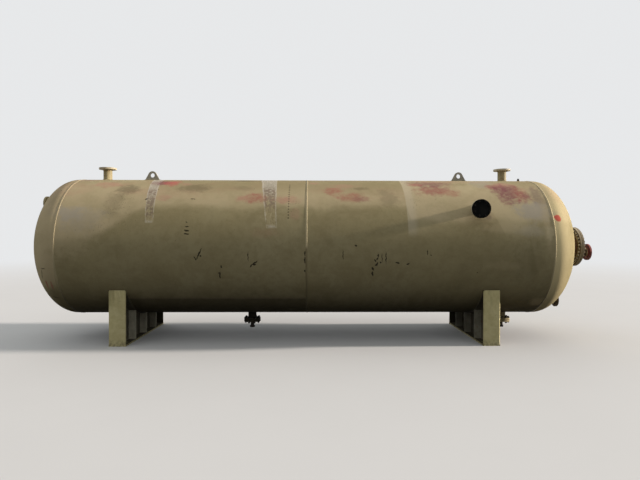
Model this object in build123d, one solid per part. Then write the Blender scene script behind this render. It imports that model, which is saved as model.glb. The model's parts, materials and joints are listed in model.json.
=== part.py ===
from build123d import *
from math import asin, atan2, cos, pi, sin, sqrt
import os

# A horizontal three-phase separator: two rolled shell courses closed by elliptical dished heads,
# on two welded saddles, with flanged nozzles, a bolted manway and two lifting lugs.
# Millimetres. +X runs along the vessel to the manway end, +Z is up, and the origin is the
# middle of the left saddle's underside.

# Vessel
shell_od = 1828.8
shell_wall = 15.9
course_length = 3048.0
straight_flange = 50.8
dish_share = 0.5
axis_height = 1230.0
seam_width = 24.0
seam_height = 3.5

# Saddles, each set back from the seam of the nearer head
left_saddle_setback = 702.0
right_saddle_setback = 723.0
saddle_width = 210.0
saddle_depth = 1520.0
base_thickness = 19.0
web_thickness = 12.7
rib_thickness = 12.7
rib_offset = 405.0
end_plate_thickness = 16.0
end_plate_bevel = 9.0
wear_plate_thickness = 12.7
wear_plate_overlap = 4.0
anchor_hole_d = 30.0
anchor_slot_length = 54.0
anchor_spacing_x = 116.0
anchor_spacing_y = 1170.0

# Nozzles on the shell: setbacks from the seam of the nearer head, heights above the axis, and how
# far each face stands out past the shell's own radius
top_left_setback = 277.0
top_right_setback = 310.0
top_projection = 170.0
side_setback = 940.0
side_z = 479.0
side_projection = 50.6
bottom_left_from_middle = 766.0
bottom_projection = 105.0

# Nozzles on the heads and on the manway cover: how far each lies in from the shell's own radius,
# or from the axis for the cover's, and how far its face stands out past the head's middle or past
# the cover, less than nothing where it lies further in
left_head_inset = 324.0
left_head_projection = 52.0
right_head_inset = 164.0
right_head_projection = -48.0
cover_nozzle_z = -77.0
cover_nozzle_projection = 193.0

# Bolted joints
four_inch_bolt_count = 8
three_inch_bolt_count = 4
raised_face = 1.6
gasket_thickness = 3.2
pipe_recess = 6.4
drain_plug_d = 48.3
drain_plug_length = 84.0
drain_hex_width = 60.0
drain_hex_height = 26.0

# Manway
manway_neck_od = 406.4
manway_neck_wall = 12.7
manway_flange_od = 546.0
manway_flange_thickness = 25.4
manway_cover_thickness = 25.4
manway_pitch_d = 486.0
manway_hole_d = 19.1
manway_bolt_count = 32
manway_seal_d = 440.0
manway_projection = 180.0

# Lifting lugs and the small top connection, set back from the seam of the nearer head
lug_left_setback = 896.0
lug_right_setback = 926.0
lug_thickness = 25.4
lug_base_width = 204.0
lug_height = 126.0
lug_top_radius = 57.0
lug_hole_d = 60.0
coupling_setback = 78.0
coupling_d = 32.0
coupling_height = 24.0
coupling_cap_d = 25.0
coupling_cap_height = 14.0

# Worked out from the sizes above
outer_r = shell_od / 2
inner_r = outer_r - shell_wall
head_depth = dish_share * inner_r + shell_wall
half_length = course_length + straight_flange
apex_x = half_length + head_depth
saddle_r = outer_r + wear_plate_thickness
left_saddle_x = left_saddle_setback - course_length
right_saddle_x = course_length - right_saddle_setback
top_left_x = top_left_setback - course_length
top_right_x = course_length - top_right_setback
side_x = course_length - side_setback
side_face_y = outer_r + side_projection
left_head_z = outer_r - left_head_inset
right_head_z = right_head_inset - outer_r
manway_face = apex_x + manway_projection
cover_face = manway_face + gasket_thickness + manway_cover_thickness


class Flange:
    """The sizes of one ring flange with a short hub, of its pipe and of the blind that fits it."""

    def __init__(self, od, thickness, length, hub_d, pipe_d, bore, seal_d, pitch_d, holes, hole_d):
        self.od = od
        self.thickness = thickness
        self.length = length
        self.hub_d = hub_d
        self.pipe_d = pipe_d
        self.bore = bore
        self.seal_d = seal_d
        self.pitch_d = pitch_d
        self.holes = holes
        self.hole_d = hole_d


four_inch = Flange(
    od=228.6,
    thickness=23.9,
    length=33.3,
    hub_d=134.9,
    pipe_d=114.3,
    bore=102.3,
    seal_d=157.2,
    pitch_d=190.5,
    holes=four_inch_bolt_count,
    hole_d=19.1,
)
three_inch = Flange(
    od=190.5,
    thickness=23.9,
    length=30.2,
    hub_d=108.0,
    pipe_d=88.9,
    bore=77.9,
    seal_d=127.0,
    pitch_d=152.4,
    holes=three_inch_bolt_count,
    hole_d=19.1,
)


def facing(x, y, z, direction):
    """A place at a point, with its own Z axis along the direction in which a nozzle faces."""
    across = (0, 1, 0) if abs(direction[0]) else (1, 0, 0)
    return Plane(origin=(x, y, z), x_dir=across, z_dir=direction).location


def rod(radius, low, high):
    """A round bar on Z between two heights."""
    return Pos(0, 0, low) * Cylinder(radius, high - low, align=(Align.CENTER, Align.CENTER, Align.MIN))


def bolt_holes(pitch_d, count, hole_d, low, high):
    """Holes on a circle that straddle the centre lines."""
    hole = rod(hole_d / 2, low, high)
    return [
        Pos(pitch_d / 2 * cos(angle), pitch_d / 2 * sin(angle), 0) * hole
        for angle in [pi * (2 * i + 1) / count for i in range(count)]
    ]


def turned(points):
    """A solid of revolution about Z from its half section, as radius and height."""
    corners = [(radius, 0, height) for radius, height in points]
    return revolve(make_face(Polyline(*corners, close=True)), Axis.Z)


def hubbed_flange(size):
    """A flange that slips over its pipe, with its raised face at height 0 and facing up."""
    back = -size.thickness
    hub_end = (size.hub_d + size.pipe_d) / 4
    body = turned(
        [
            (size.pipe_d / 2, 0),
            (size.seal_d / 2, 0),
            (size.seal_d / 2, -raised_face),
            (size.od / 2, -raised_face),
            (size.od / 2, back),
            (size.hub_d / 2, back),
            (hub_end, -size.length),
            (size.pipe_d / 2, -size.length),
        ]
    )
    return body - bolt_holes(size.pitch_d, size.holes, size.hole_d, back, 0)


def ring_flange(od, bore, thickness, seal_d, pitch_d, count, hole_d):
    """A plain ring flange whose raised face is at height 0 and faces up."""
    body = turned(
        [
            (bore / 2, 0),
            (seal_d / 2, 0),
            (seal_d / 2, -raised_face),
            (od / 2, -raised_face),
            (od / 2, -thickness),
            (bore / 2, -thickness),
        ]
    )
    return body - bolt_holes(pitch_d, count, hole_d, -thickness, 0)


def blind(od, bore, thickness, seal_d, pitch_d, count, hole_d):
    """A cover whose raised face is at height 0 and faces down; a bore of 0 leaves it closed."""
    body = turned(
        [
            (bore / 2, 0),
            (seal_d / 2, 0),
            (seal_d / 2, raised_face),
            (od / 2, raised_face),
            (od / 2, thickness),
            (bore / 2, thickness),
        ]
    )
    return body - bolt_holes(pitch_d, count, hole_d, 0, thickness)


def blind_for(size):
    """The closed cover for a flange."""
    return blind(size.od, 0, size.thickness, size.seal_d, size.pitch_d, size.holes, size.hole_d)


def gasket(seal_d, bore):
    """A flat ring gasket lying on height 0."""
    return rod(seal_d / 2, 0, gasket_thickness) - rod(bore / 2, 0, gasket_thickness)


def along_x(radius, x_low, x_high):
    """A round bar on the vessel's axis."""
    return Pos(x_low, 0, 0) * Rot(0, 90, 0) * rod(radius, 0, x_high - x_low)


def domed(wall, end):
    """What one end holds inside its skin (wall 0) or inside its wall, at the left (-1) or right (1).

    The dish is half an ellipse, which runs on into the straight flange.
    """
    radius = outer_r - wall
    depth = head_depth - wall
    centre = (end * half_length, 0)
    corner = (end * half_length, radius)
    apex = (end * (half_length + depth), 0)
    start = 0 if end > 0 else 90
    dish = EllipticalCenterArc(centre, depth, radius, start_angle=start, arc_size=90)
    rest = Polyline(corner, (end * course_length, radius), (end * course_length, 0), apex)
    return revolve(make_face([dish, rest]), Axis.X)


# What fills the vessel inside its wall
inside = along_x(inner_r, -course_length, course_length)
inside += domed(shell_wall, -1)
inside += domed(shell_wall, 1)


def pipe(size, low):
    """The pipe of a nozzle, from a height below the face up to where it ends inside the flange."""
    return rod(size.pipe_d / 2, low, -pipe_recess) - rod(size.bore / 2, low, -pipe_recess)


# Where each nozzle's face lies
top_left = facing(top_left_x, 0, outer_r + top_projection, (0, 0, 1))
top_right = facing(top_right_x, 0, outer_r + top_projection, (0, 0, 1))
side = facing(side_x, -side_face_y, side_z, (0, -1, 0))
bottom_left = facing(-bottom_left_from_middle, 0, -outer_r - bottom_projection, (0, 0, -1))
bottom_right = facing(top_right_x, 0, -outer_r - bottom_projection, (0, 0, -1))
left_head = facing(-apex_x - left_head_projection, 0, left_head_z, (-1, 0, 0))
right_head = facing(apex_x + right_head_projection, 0, right_head_z, (1, 0, 0))
manway = facing(manway_face, 0, 0, (1, 0, 0))
cover_nozzle = facing(cover_face + cover_nozzle_projection, 0, cover_nozzle_z, (1, 0, 0))

# How far each cutter and neck reaches in from its face: past the wall it meets, but short of
# the vessel's far side
top_reach = outer_r
bottom_reach = outer_r
side_reach = side_face_y
left_head_reach = left_head_projection + head_depth + straight_flange
right_head_reach = right_head_projection + head_depth + straight_flange
manway_reach = manway_projection + head_depth + straight_flange


def passage(size, place, reach):
    """The hole that a neck needs in the wall it passes."""
    return place * rod(size.pipe_d / 2, -reach, 0)


def shell_courses():
    """Two rolled courses, with the holes that the nozzles on them pass through."""
    left = along_x(outer_r, -course_length, 0) - along_x(inner_r, -course_length, 0)
    left -= passage(four_inch, top_left, top_reach)
    left -= passage(four_inch, bottom_left, bottom_reach)
    right = along_x(outer_r, 0, course_length) - along_x(inner_r, 0, course_length)
    right -= passage(four_inch, top_right, top_reach)
    right -= passage(four_inch, bottom_right, bottom_reach)
    right -= passage(four_inch, side, side_reach)
    return {"shell_course_left": left, "shell_course_right": right}


def heads():
    """Two dished heads with the holes for the manway and the end nozzles."""
    left = domed(0, -1) - domed(shell_wall, -1)
    left -= passage(three_inch, left_head, left_head_reach)
    right = domed(0, 1) - domed(shell_wall, 1)
    right -= passage(three_inch, right_head, right_head_reach)
    right -= manway * rod(manway_neck_od / 2, -manway_reach, 0)
    return {"head_left": left, "head_right": right}


def seam(x):
    """A rounded weld bead around the shell at one place along it."""
    arc = ThreePointArc(
        (x - seam_width / 2, outer_r), (x, outer_r + seam_height), (x + seam_width / 2, outer_r)
    )
    foot = Line((x + seam_width / 2, outer_r), (x - seam_width / 2, outer_r))
    return revolve(make_face([arc, foot]), Axis.X)


def girth_welds():
    """The beads between the courses and at each head, which don't touch one another."""
    return {"girth_welds": Compound([seam(x) for x in (-course_length, 0, course_length)])}


def nozzle(name, size, place, reach):
    """A neck, cut to the inside of the wall it passes, and its flange."""
    return {
        name + "_neck": place * pipe(size, -reach) - inside,
        name + "_flange": place * hubbed_flange(size),
    }


def drain(name, place):
    """A blind flange with a hexagonal plug screwed into its middle."""
    cover = place * Pos(0, 0, gasket_thickness)
    shank_low = four_inch.thickness
    shank_high = shank_low + drain_plug_length - drain_hex_height
    hexagon = RegularPolygon(drain_hex_width / 2, 6, major_radius=False)
    plug = rod(drain_plug_d / 2, shank_low, shank_high)
    plug += Pos(0, 0, shank_high) * extrude(hexagon, drain_hex_height)
    return {name + "_blind": cover * blind_for(four_inch), name + "_plug": cover * plug}


def manway_parts():
    """The manway neck with its ring flange, and the bolted cover."""
    bore = manway_neck_od - 2 * manway_neck_wall
    tube = rod(manway_neck_od / 2, -manway_reach, -pipe_recess) - rod(bore / 2, -manway_reach, 0)
    ring = ring_flange(
        manway_flange_od,
        manway_neck_od,
        manway_flange_thickness,
        manway_seal_d,
        manway_pitch_d,
        manway_bolt_count,
        manway_hole_d,
    )
    cover = blind(
        manway_flange_od,
        0,
        manway_cover_thickness,
        manway_seal_d,
        manway_pitch_d,
        manway_bolt_count,
        manway_hole_d,
    )
    cover -= Pos(0, cover_nozzle_z, 0) * rod(four_inch.pipe_d / 2, 0, manway_cover_thickness)
    return {
        "manway_neck": manway * tube - inside,
        "manway_flange": manway * ring,
        "manway_cover": manway * Pos(0, 0, gasket_thickness) * cover,
    }


def cover_nozzle_parts():
    """The nozzle in the manway cover, whose neck ends flush with the cover's inner face."""
    length = cover_nozzle_projection + manway_cover_thickness
    return {
        "cover_nozzle_neck": cover_nozzle * pipe(four_inch, -length),
        "cover_nozzle_flange": cover_nozzle * hubbed_flange(four_inch),
    }


def gaskets():
    """The flat rings between the faces of each closed joint."""
    manway_ring = gasket(manway_seal_d, manway_neck_od)
    small_ring = gasket(four_inch.seal_d, four_inch.bore)
    small_places = [side, bottom_left, bottom_right]
    rings = [manway * manway_ring, *[place * small_ring for place in small_places]]
    return {"gaskets": Compound(rings)}


def lug(x):
    """A lifting plate whose flared sides run tangent into a round top, seated on the shell."""
    centre = lug_height - lug_top_radius
    half = lug_base_width / 2
    slope = sqrt(half**2 + centre**2)
    lean = pi / 2 - (asin(lug_top_radius / slope) + atan2(centre, half))
    touch_x = lug_top_radius * cos(lean)
    touch_z = centre + lug_top_radius * sin(lean)
    foot = -shell_wall
    sides_left = Line((-half, 0), (-touch_x, touch_z))
    crown = ThreePointArc((-touch_x, touch_z), (0, lug_height), (touch_x, touch_z))
    sides_right = Line((touch_x, touch_z), (half, 0))
    skirt = Polyline((half, 0), (half, foot), (-half, foot), (-half, 0))
    outline = make_face([sides_left, crown, sides_right, skirt])
    plate = extrude(outline, lug_thickness / 2, both=True)
    plate -= Pos(0, centre, 0) * Cylinder(lug_hole_d / 2, 2 * lug_thickness)
    seated = Pos(x, 0, outer_r) * Rot(90, 0, 0) * plate
    return seated - along_x(outer_r, -course_length, course_length)


def coupling():
    """A small round connection on the shell's top with a narrower cap."""
    body_top = outer_r + coupling_height
    solid = rod(coupling_d / 2, 0, body_top)
    solid += rod(coupling_cap_d / 2, body_top, body_top + coupling_cap_height)
    placed = Pos(course_length - coupling_setback, 0, 0) * solid
    return {"top_coupling": placed - along_x(outer_r, 0, course_length)}


def box(x_low, x_high, y_low, y_high, z_low, z_high):
    """A block between its faces."""
    size = Box(x_high - x_low, y_high - y_low, z_high - z_low, align=(Align.MIN, Align.MIN, Align.MIN))
    return Pos(x_low, y_low, z_low) * size


def anchor_holes(x, slotted):
    """Four holes through a base plate, round at the fixed end and slotted at the sliding end."""
    places = [
        Pos(x + i * anchor_spacing_x / 2, j * anchor_spacing_y / 2, -axis_height)
        for i in (-1, 1)
        for j in (-1, 1)
    ]
    if slotted:
        cutter = extrude(SlotOverall(anchor_slot_length, anchor_hole_d), base_thickness)
    else:
        cutter = rod(anchor_hole_d / 2, 0, base_thickness)
    return [place * cutter for place in places]


def saddle(name, x, slotted):
    """A base plate, a cross web, end plates and ribs up to a wear plate that carries the shell."""
    half_width = saddle_width / 2
    half_depth = saddle_depth / 2
    floor = -axis_height
    base_top = floor + base_thickness
    round_above = along_x(saddle_r, x - saddle_width, x + saddle_width)
    base = box(x - half_width, x + half_width, -half_depth, half_depth, floor, base_top)
    base -= anchor_holes(x, slotted)
    plate_in = half_depth - end_plate_thickness
    web_half = web_thickness / 2
    web = box(x - web_half, x + web_half, -plate_in, plate_in, base_top, 0) - round_above
    ends = [end_plate(x, half_width, half_depth, base_top, sign) - round_above for sign in (-1, 1)]
    ribs = [
        rib(x, y, near, base_top) - round_above
        for y in (-rib_offset, 0, rib_offset)
        for near in (-1, 1)
    ]
    wear_edge = wear_plate_overlap - sqrt(saddle_r**2 - half_depth**2)
    wear = along_x(saddle_r, x - half_width, x + half_width)
    wear -= along_x(outer_r, x - half_width, x + half_width)
    wear -= box(x - saddle_width, x + saddle_width, -shell_od, shell_od, wear_edge, shell_od)
    return {
        name + "_base_plate": base,
        name + "_web_plate": web,
        name + "_end_plates": Compound(ends),
        name + "_ribs": Compound(ribs),
        name + "_wear_plate": wear,
    }


def end_plate(x, half_width, half_depth, base_top, sign):
    """One outer plate of a saddle, with bevelled upright edges on its outer face."""
    plate = box(x - half_width, x + half_width, -end_plate_thickness, 0, base_top, 0)
    outer_edges = plate.faces().sort_by(Axis.Y)[0].edges().filter_by(Axis.Z)
    plate = chamfer(outer_edges, end_plate_bevel)
    turn = 0 if sign < 0 else 180
    moved = Pos(0, end_plate_thickness - half_depth, 0) * plate
    return Pos(x, 0, 0) * Rot(0, 0, turn) * Pos(-x, 0, 0) * moved


def rib(x, y, near, base_top):
    """One rib, from the web to the saddle's edge on its own side."""
    inner = near * web_thickness / 2
    outer = near * saddle_width / 2
    x_low, x_high = sorted((x + inner, x + outer))
    return box(x_low, x_high, y - rib_thickness / 2, y + rib_thickness / 2, base_top, 0)


pieces = {}
pieces.update(shell_courses())
pieces.update(heads())
pieces.update(girth_welds())
pieces.update(nozzle("top_left_nozzle", four_inch, top_left, top_reach))
pieces.update(nozzle("top_right_nozzle", four_inch, top_right, top_reach))
pieces.update(nozzle("side_nozzle", four_inch, side, side_reach))
pieces["side_nozzle_cover"] = side * Pos(0, 0, gasket_thickness) * blind_for(four_inch)
pieces.update(nozzle("bottom_left_nozzle", four_inch, bottom_left, bottom_reach))
pieces.update(drain("bottom_left_nozzle", bottom_left))
pieces.update(nozzle("bottom_right_nozzle", four_inch, bottom_right, bottom_reach))
pieces.update(drain("bottom_right_nozzle", bottom_right))
pieces.update(nozzle("left_head_nozzle", three_inch, left_head, left_head_reach))
pieces.update(nozzle("right_head_nozzle", three_inch, right_head, right_head_reach))
pieces.update(manway_parts())
pieces.update(cover_nozzle_parts())
pieces.update(gaskets())
pieces["lifting_lug_left"] = lug(lug_left_setback - course_length)
pieces["lifting_lug_right"] = lug(course_length - lug_right_setback)
pieces.update(coupling())
pieces.update(saddle("left_saddle", left_saddle_x, False))
pieces.update(saddle("right_saddle", right_saddle_x, True))

os.makedirs("parts", exist_ok=True)
from_origin = Pos(-left_saddle_x, 0, axis_height)
for node, shape in pieces.items():
    export_step(from_origin * shape, f"parts/{node}.step")
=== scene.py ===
import json
import math

import bpy
from mathutils import Matrix, Vector


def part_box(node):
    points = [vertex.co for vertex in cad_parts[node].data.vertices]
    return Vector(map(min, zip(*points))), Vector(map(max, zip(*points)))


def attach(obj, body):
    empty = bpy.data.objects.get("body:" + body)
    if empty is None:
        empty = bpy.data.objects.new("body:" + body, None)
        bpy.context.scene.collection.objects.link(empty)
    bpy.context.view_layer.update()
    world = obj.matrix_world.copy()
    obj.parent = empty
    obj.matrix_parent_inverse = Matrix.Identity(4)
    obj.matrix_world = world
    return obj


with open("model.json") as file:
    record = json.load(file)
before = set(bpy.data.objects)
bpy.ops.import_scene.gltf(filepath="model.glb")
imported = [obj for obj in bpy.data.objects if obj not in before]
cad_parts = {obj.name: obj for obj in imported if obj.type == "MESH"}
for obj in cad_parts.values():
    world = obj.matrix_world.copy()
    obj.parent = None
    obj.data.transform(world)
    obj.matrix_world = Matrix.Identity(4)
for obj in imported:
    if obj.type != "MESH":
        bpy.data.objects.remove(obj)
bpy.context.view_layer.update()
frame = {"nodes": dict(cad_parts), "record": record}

# Sizes read from the frame, in metres
left_low, left_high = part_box("shell_course_left")
MIDDLE_X = left_high.x
AXIS_Z = (left_low.z + left_high.z) / 2
SHELL_R = (left_high.z - left_low.z) / 2
COURSE = left_high.x - left_low.x

# The heads' form: a straight flange, then half an ellipse
STRAIGHT_FLANGE = 0.0508
HEAD_DEPTH = left_low.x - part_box("head_left")[0].x - STRAIGHT_FLANGE


# Camera, from the photograph's perspective

PHOTO_WIDTH = 640
FOCAL_PIXELS = 481.4
SENSOR_MM = 36
CAMERA_PLACE = (MIDDLE_X + 0.0724, -6.75, AXIS_Z + 0.1675)
CAMERA_YAW = 0.0158
CAMERA_PITCH = 0.0119
CAMERA_ROLL = 0.0016


def added(name, data):
    """A new object in the scene."""
    made = bpy.data.objects.new(name, data)
    bpy.context.scene.collection.objects.link(made)
    return made


def make_camera():
    """A camera along +Y, turned a little to the right and down."""
    data = bpy.data.cameras.new("camera")
    data.sensor_width = SENSOR_MM
    data.lens = SENSOR_MM * FOCAL_PIXELS / PHOTO_WIDTH
    camera = added("camera", data)
    turn = Matrix.Rotation(-CAMERA_YAW, 4, "Z")
    tilt = Matrix.Rotation(math.pi / 2 - CAMERA_PITCH, 4, "X")
    roll = Matrix.Rotation(CAMERA_ROLL, 4, "Z")
    camera.matrix_world = Matrix.Translation(CAMERA_PLACE) @ turn @ tilt @ roll
    bpy.context.scene.camera = camera


# Material building blocks


def srgb(red, green, blue):
    """A colour given as it looks, from 0 to 255, in linear values."""

    def linear(value):
        value /= 255
        return value / 12.92 if value <= 0.04045 else ((value + 0.055) / 1.055) ** 2.4

    return (linear(red), linear(green), linear(blue), 1)


class Nodes:
    """A node tree under construction, with short names for its nodes."""

    def __init__(self, tree):
        self.tree = tree

    def node(self, kind, **settings):
        made = self.tree.nodes.new(kind)
        for name, value in settings.items():
            setattr(made, name, value)
        return made

    def feed(self, socket, value):
        """Put a link or a plain value into a socket."""
        if isinstance(value, bpy.types.NodeSocket):
            self.tree.links.new(value, socket)
        else:
            socket.default_value = value

    def filled(self, made, *values):
        """A node's outputs, once the values are in its inputs."""
        for socket, value in zip(made.inputs, values):
            self.feed(socket, value)
        return made.outputs

    def math(self, operation, first, second=0.0, third=0.0):
        made = self.node("ShaderNodeMath", operation=operation)
        return self.filled(made, first, second, third)[0]

    def chained(self, operation, values):
        total = values[0]
        for value in values[1:]:
            total = self.math(operation, total, value)
        return total

    def plus(self, *values):
        return self.chained("ADD", values)

    def minus(self, first, second):
        return self.math("SUBTRACT", first, second)

    def product(self, *values):
        return self.chained("MULTIPLY", values)

    def vector(self, operation, *values):
        outputs = self.filled(self.node("ShaderNodeVectorMath", operation=operation), *values)
        return outputs["Value" if operation in ("LENGTH", "DOT_PRODUCT") else "Vector"]

    def axes(self, vector):
        return self.filled(self.node("ShaderNodeSeparateXYZ"), vector)

    def join(self, x, y, z=0.0):
        return self.filled(self.node("ShaderNodeCombineXYZ"), x, y, z)[0]

    def fade(self, value, start, end, low=0.0, high=1.0, kind="SMOOTHSTEP"):
        """A step from low at start to high at end, smooth unless told otherwise."""
        made = self.node("ShaderNodeMapRange", interpolation_type=kind)
        return self.filled(made, value, start, end, low, high)[0]

    def mix(self, share, first, second):
        made = self.node("ShaderNodeMix", data_type="RGBA")
        for place, value in ((0, share), (6, first), (7, second)):
            self.feed(made.inputs[place], value)
        return made.outputs[2]


class Surface(Nodes):
    """One material under construction."""

    def __init__(self, name, roughness=0.6, metallic=0.0, specular=0.25):
        self.material = bpy.data.materials.new(name)
        self.material.use_nodes = True
        super().__init__(self.material.node_tree)
        self.shader = self.tree.nodes["Principled BSDF"]
        self.shader.inputs["Roughness"].default_value = roughness
        self.shader.inputs["Metallic"].default_value = metallic
        self.shader.inputs["Specular IOR Level"].default_value = specular
        self.place = self.node("ShaderNodeTexCoord").outputs["Object"]
        self.bump_height = None

    def texture(self, kind, place, **numbers):
        """A texture over a place, with its other inputs set by name."""
        made = self.node(kind)
        self.feed(made.inputs["Vector"], place)
        for name, number in numbers.items():
            made.inputs[name].default_value = number
        return made.outputs

    def noise(self, scale, detail=4.0, rough=0.55, stretch=None, offset=(0, 0, 0), distortion=0.0):
        """Cloudy noise, over a place that may be scaled along each axis first."""
        place = self.place
        if stretch:
            place = self.vector("MULTIPLY_ADD", place, stretch, offset)
        numbers = {"Scale": scale, "Detail": detail, "Roughness": rough, "Distortion": distortion}
        return self.texture("ShaderNodeTexNoise", place, **numbers)[0]

    def normal(self):
        """The direction that the surface faces."""
        return self.axes(self.node("ShaderNodeNewGeometry").outputs["Normal"])

    def patchy(self, scale, start, end, low=0.0, high=1.0, detail=6.0, rough=0.7):
        """A smooth step over a noise."""
        return self.fade(self.noise(scale, detail, rough), start, end, low, high)

    def tinted(self, colour, tint, scale, start, end, share=1.0, detail=6.0, rough=0.7):
        """The colour, with a tint laid over it in patches."""
        return self.mix(self.patchy(scale, start, end, 0.0, share, detail, rough), colour, tint)

    def rise(self, height, strength):
        """Add a height field to the bump."""
        part = self.product(height, strength)
        self.bump_height = part if self.bump_height is None else self.plus(self.bump_height, part)

    def finish(self, colour, uneven=None, bump_distance=0.002):
        """Link the colour, the bump, and a roughness that wanders: scale, low, high, detail."""
        self.feed(self.shader.inputs["Base Color"], colour)
        if uneven:
            scale, low, high, detail = uneven
            patches = self.patchy(scale, 0.3, 0.7, low, high, detail, 0.55)
            self.feed(self.shader.inputs["Roughness"], patches)
        if self.bump_height is not None:
            bump = self.node("ShaderNodeBump")
            bump.inputs["Distance"].default_value = bump_distance
            self.feed(bump.inputs["Height"], self.bump_height)
            self.feed(self.shader.inputs["Normal"], bump.outputs[0])
        return self.material


def arc(degrees):
    """Metres round the shell for an angle up from the front."""
    return math.radians(degrees) * SHELL_R


class ShellSurface(Surface):
    """The skin of the vessel, laid flat: metres along from the middle seam, metres up round it from
    the front, and a level, metres up from the nearer side, which the back and the heads share."""

    def __init__(self, name, specular):
        super().__init__(name, specular=specular)
        x, y, z = self.axes(self.place)
        self.along = self.minus(x, MIDDLE_X)
        height = self.minus(z, AXIS_Z)
        self.up = self.product(self.math("ARCTAN2", height, self.product(y, -1.0)), SHELL_R)
        self.flat = self.join(self.along, self.up)
        share = self.math("MAXIMUM", self.math("DIVIDE", height, SHELL_R), -1.0)
        self.level = self.product(self.math("ARCSINE", self.math("MINIMUM", share, 1.0)), SHELL_R)

    def by_along(self, start, end, low=0.0, high=1.0):
        """A smooth step between two places along the vessel, in metres."""
        return self.fade(self.along, start, end, low, high)

    def by_level(self, start, end, low=0.0, high=1.0):
        """A smooth step between two levels, in degrees."""
        return self.fade(self.level, arc(start), arc(end), low, high)


# Colours as they look under plain light
KHAKI = srgb(158, 146, 109)
KHAKI_LIGHT = srgb(168, 157, 122)
KHAKI_DARK = srgb(138, 126, 92)
KHAKI_DIM = srgb(134, 123, 91)
KHAKI_PALE = srgb(190, 176, 140)
# Lighter copies of the khaki as painted sunlight on the right head: its base, and its turn by the
# seam
KHAKI_SUNLIT = srgb(170, 157, 113)
KHAKI_SUNLIT_TURN = srgb(216, 199, 152)
DUST = srgb(180, 164, 130)
CHALK = srgb(208, 200, 184)
SOOT = srgb(84, 76, 56)
PINK = srgb(178, 134, 114)
RED = srgb(160, 100, 86)
ROSE = srgb(184, 92, 88)
MAROON = srgb(130, 82, 84)
BRIGHT_RED = srgb(206, 72, 66)
BARE_GREY = srgb(162, 155, 142)
MAUVE = srgb(110, 92, 86)
RUST = srgb(126, 74, 40)
RUST_DARK = srgb(70, 46, 32)
WELD_DIM = srgb(112, 102, 76)
# Dark colour of the dots, also laid on as painted shade beneath the shell and on the saddles
GRIME_AND_SHADE = srgb(34, 32, 28)
BLACK = srgb(24, 22, 20)


def weathered(look, base, light, dark=KHAKI_DARK):
    """Matte field paint: soft patches, faint streaks, dust on top and soot clouds."""
    colour = look.tinted(base, light, 0.9, 0.35, 0.65, detail=5, rough=0.55)
    patches = look.fade(look.noise(2.6, 7, 0.66, distortion=0.8), 0.42, 0.7, 0.0, 0.75)
    colour = look.mix(patches, colour, dark)
    colour = look.tinted(colour, dark, 13, 0.42, 0.66, 0.5, detail=7)
    colour = look.tinted(colour, light, 42, 0.5, 0.7, 0.3, rough=0.75)
    streaks = look.noise(1.0, 5, 0.6, (26, 1.8, 1.8))
    colour = look.mix(look.fade(streaks, 0.54, 0.8, 0.0, 0.18), colour, dark)
    up = look.fade(look.normal()[2], 0.35, 1.0, 0.0, 0.25)
    lying = look.patchy(5.0, 0.3, 0.7, rough=0.65)
    colour = look.mix(look.product(up, lying), colour, DUST)
    clouds = look.noise(1.7, 5, 0.6, (1, 1, 1), (3, 8, 5))
    return look.mix(look.fade(clouds, 0.58, 0.82, 0.0, 0.45), colour, SOOT)


def strewn(look, scale, share, size=0.25):
    """Small round spots, on the given share of evenly strewn points."""
    points = look.texture("ShaderNodeTexVoronoi", look.place, Scale=scale)
    own_grey = look.filled(look.node("ShaderNodeSeparateColor"), points["Color"])[0]
    chosen = look.math("LESS_THAN", own_grey, share)
    return look.product(chosen, look.fade(points["Distance"], size, size * 0.5))


def specks(look, colour, scale, share, tint, size=0.25):
    """Scattered chips of one colour."""
    return look.mix(strewn(look, scale, share, size), colour, tint)


def orange_peel(look, waves):
    """Sprayed paint's fine texture over gently uneven plate."""
    look.rise(look.noise(260, 3), 0.1)
    look.rise(look.noise(4.0, 3), waves)


def simple_paint(name, base, light, dark, rust_share, gloss=0.2):
    """The weathered paint of a smaller piece, with rust breaking through."""
    look = Surface(name, specular=gloss)
    colour = weathered(look, srgb(*base), srgb(*light), srgb(*dark))
    breaks = look.patchy(30, 0.66 - rust_share, 0.72 - rust_share * 0.5, detail=8)
    colour = look.mix(look.product(breaks, 0.75), colour, RUST)
    colour = specks(look, colour, 60, 0.06, RUST_DARK)
    orange_peel(look, 0.3)
    look.rise(breaks, -0.15)
    return look.finish(colour, (8, 0.5, 0.72, 4))


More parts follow.
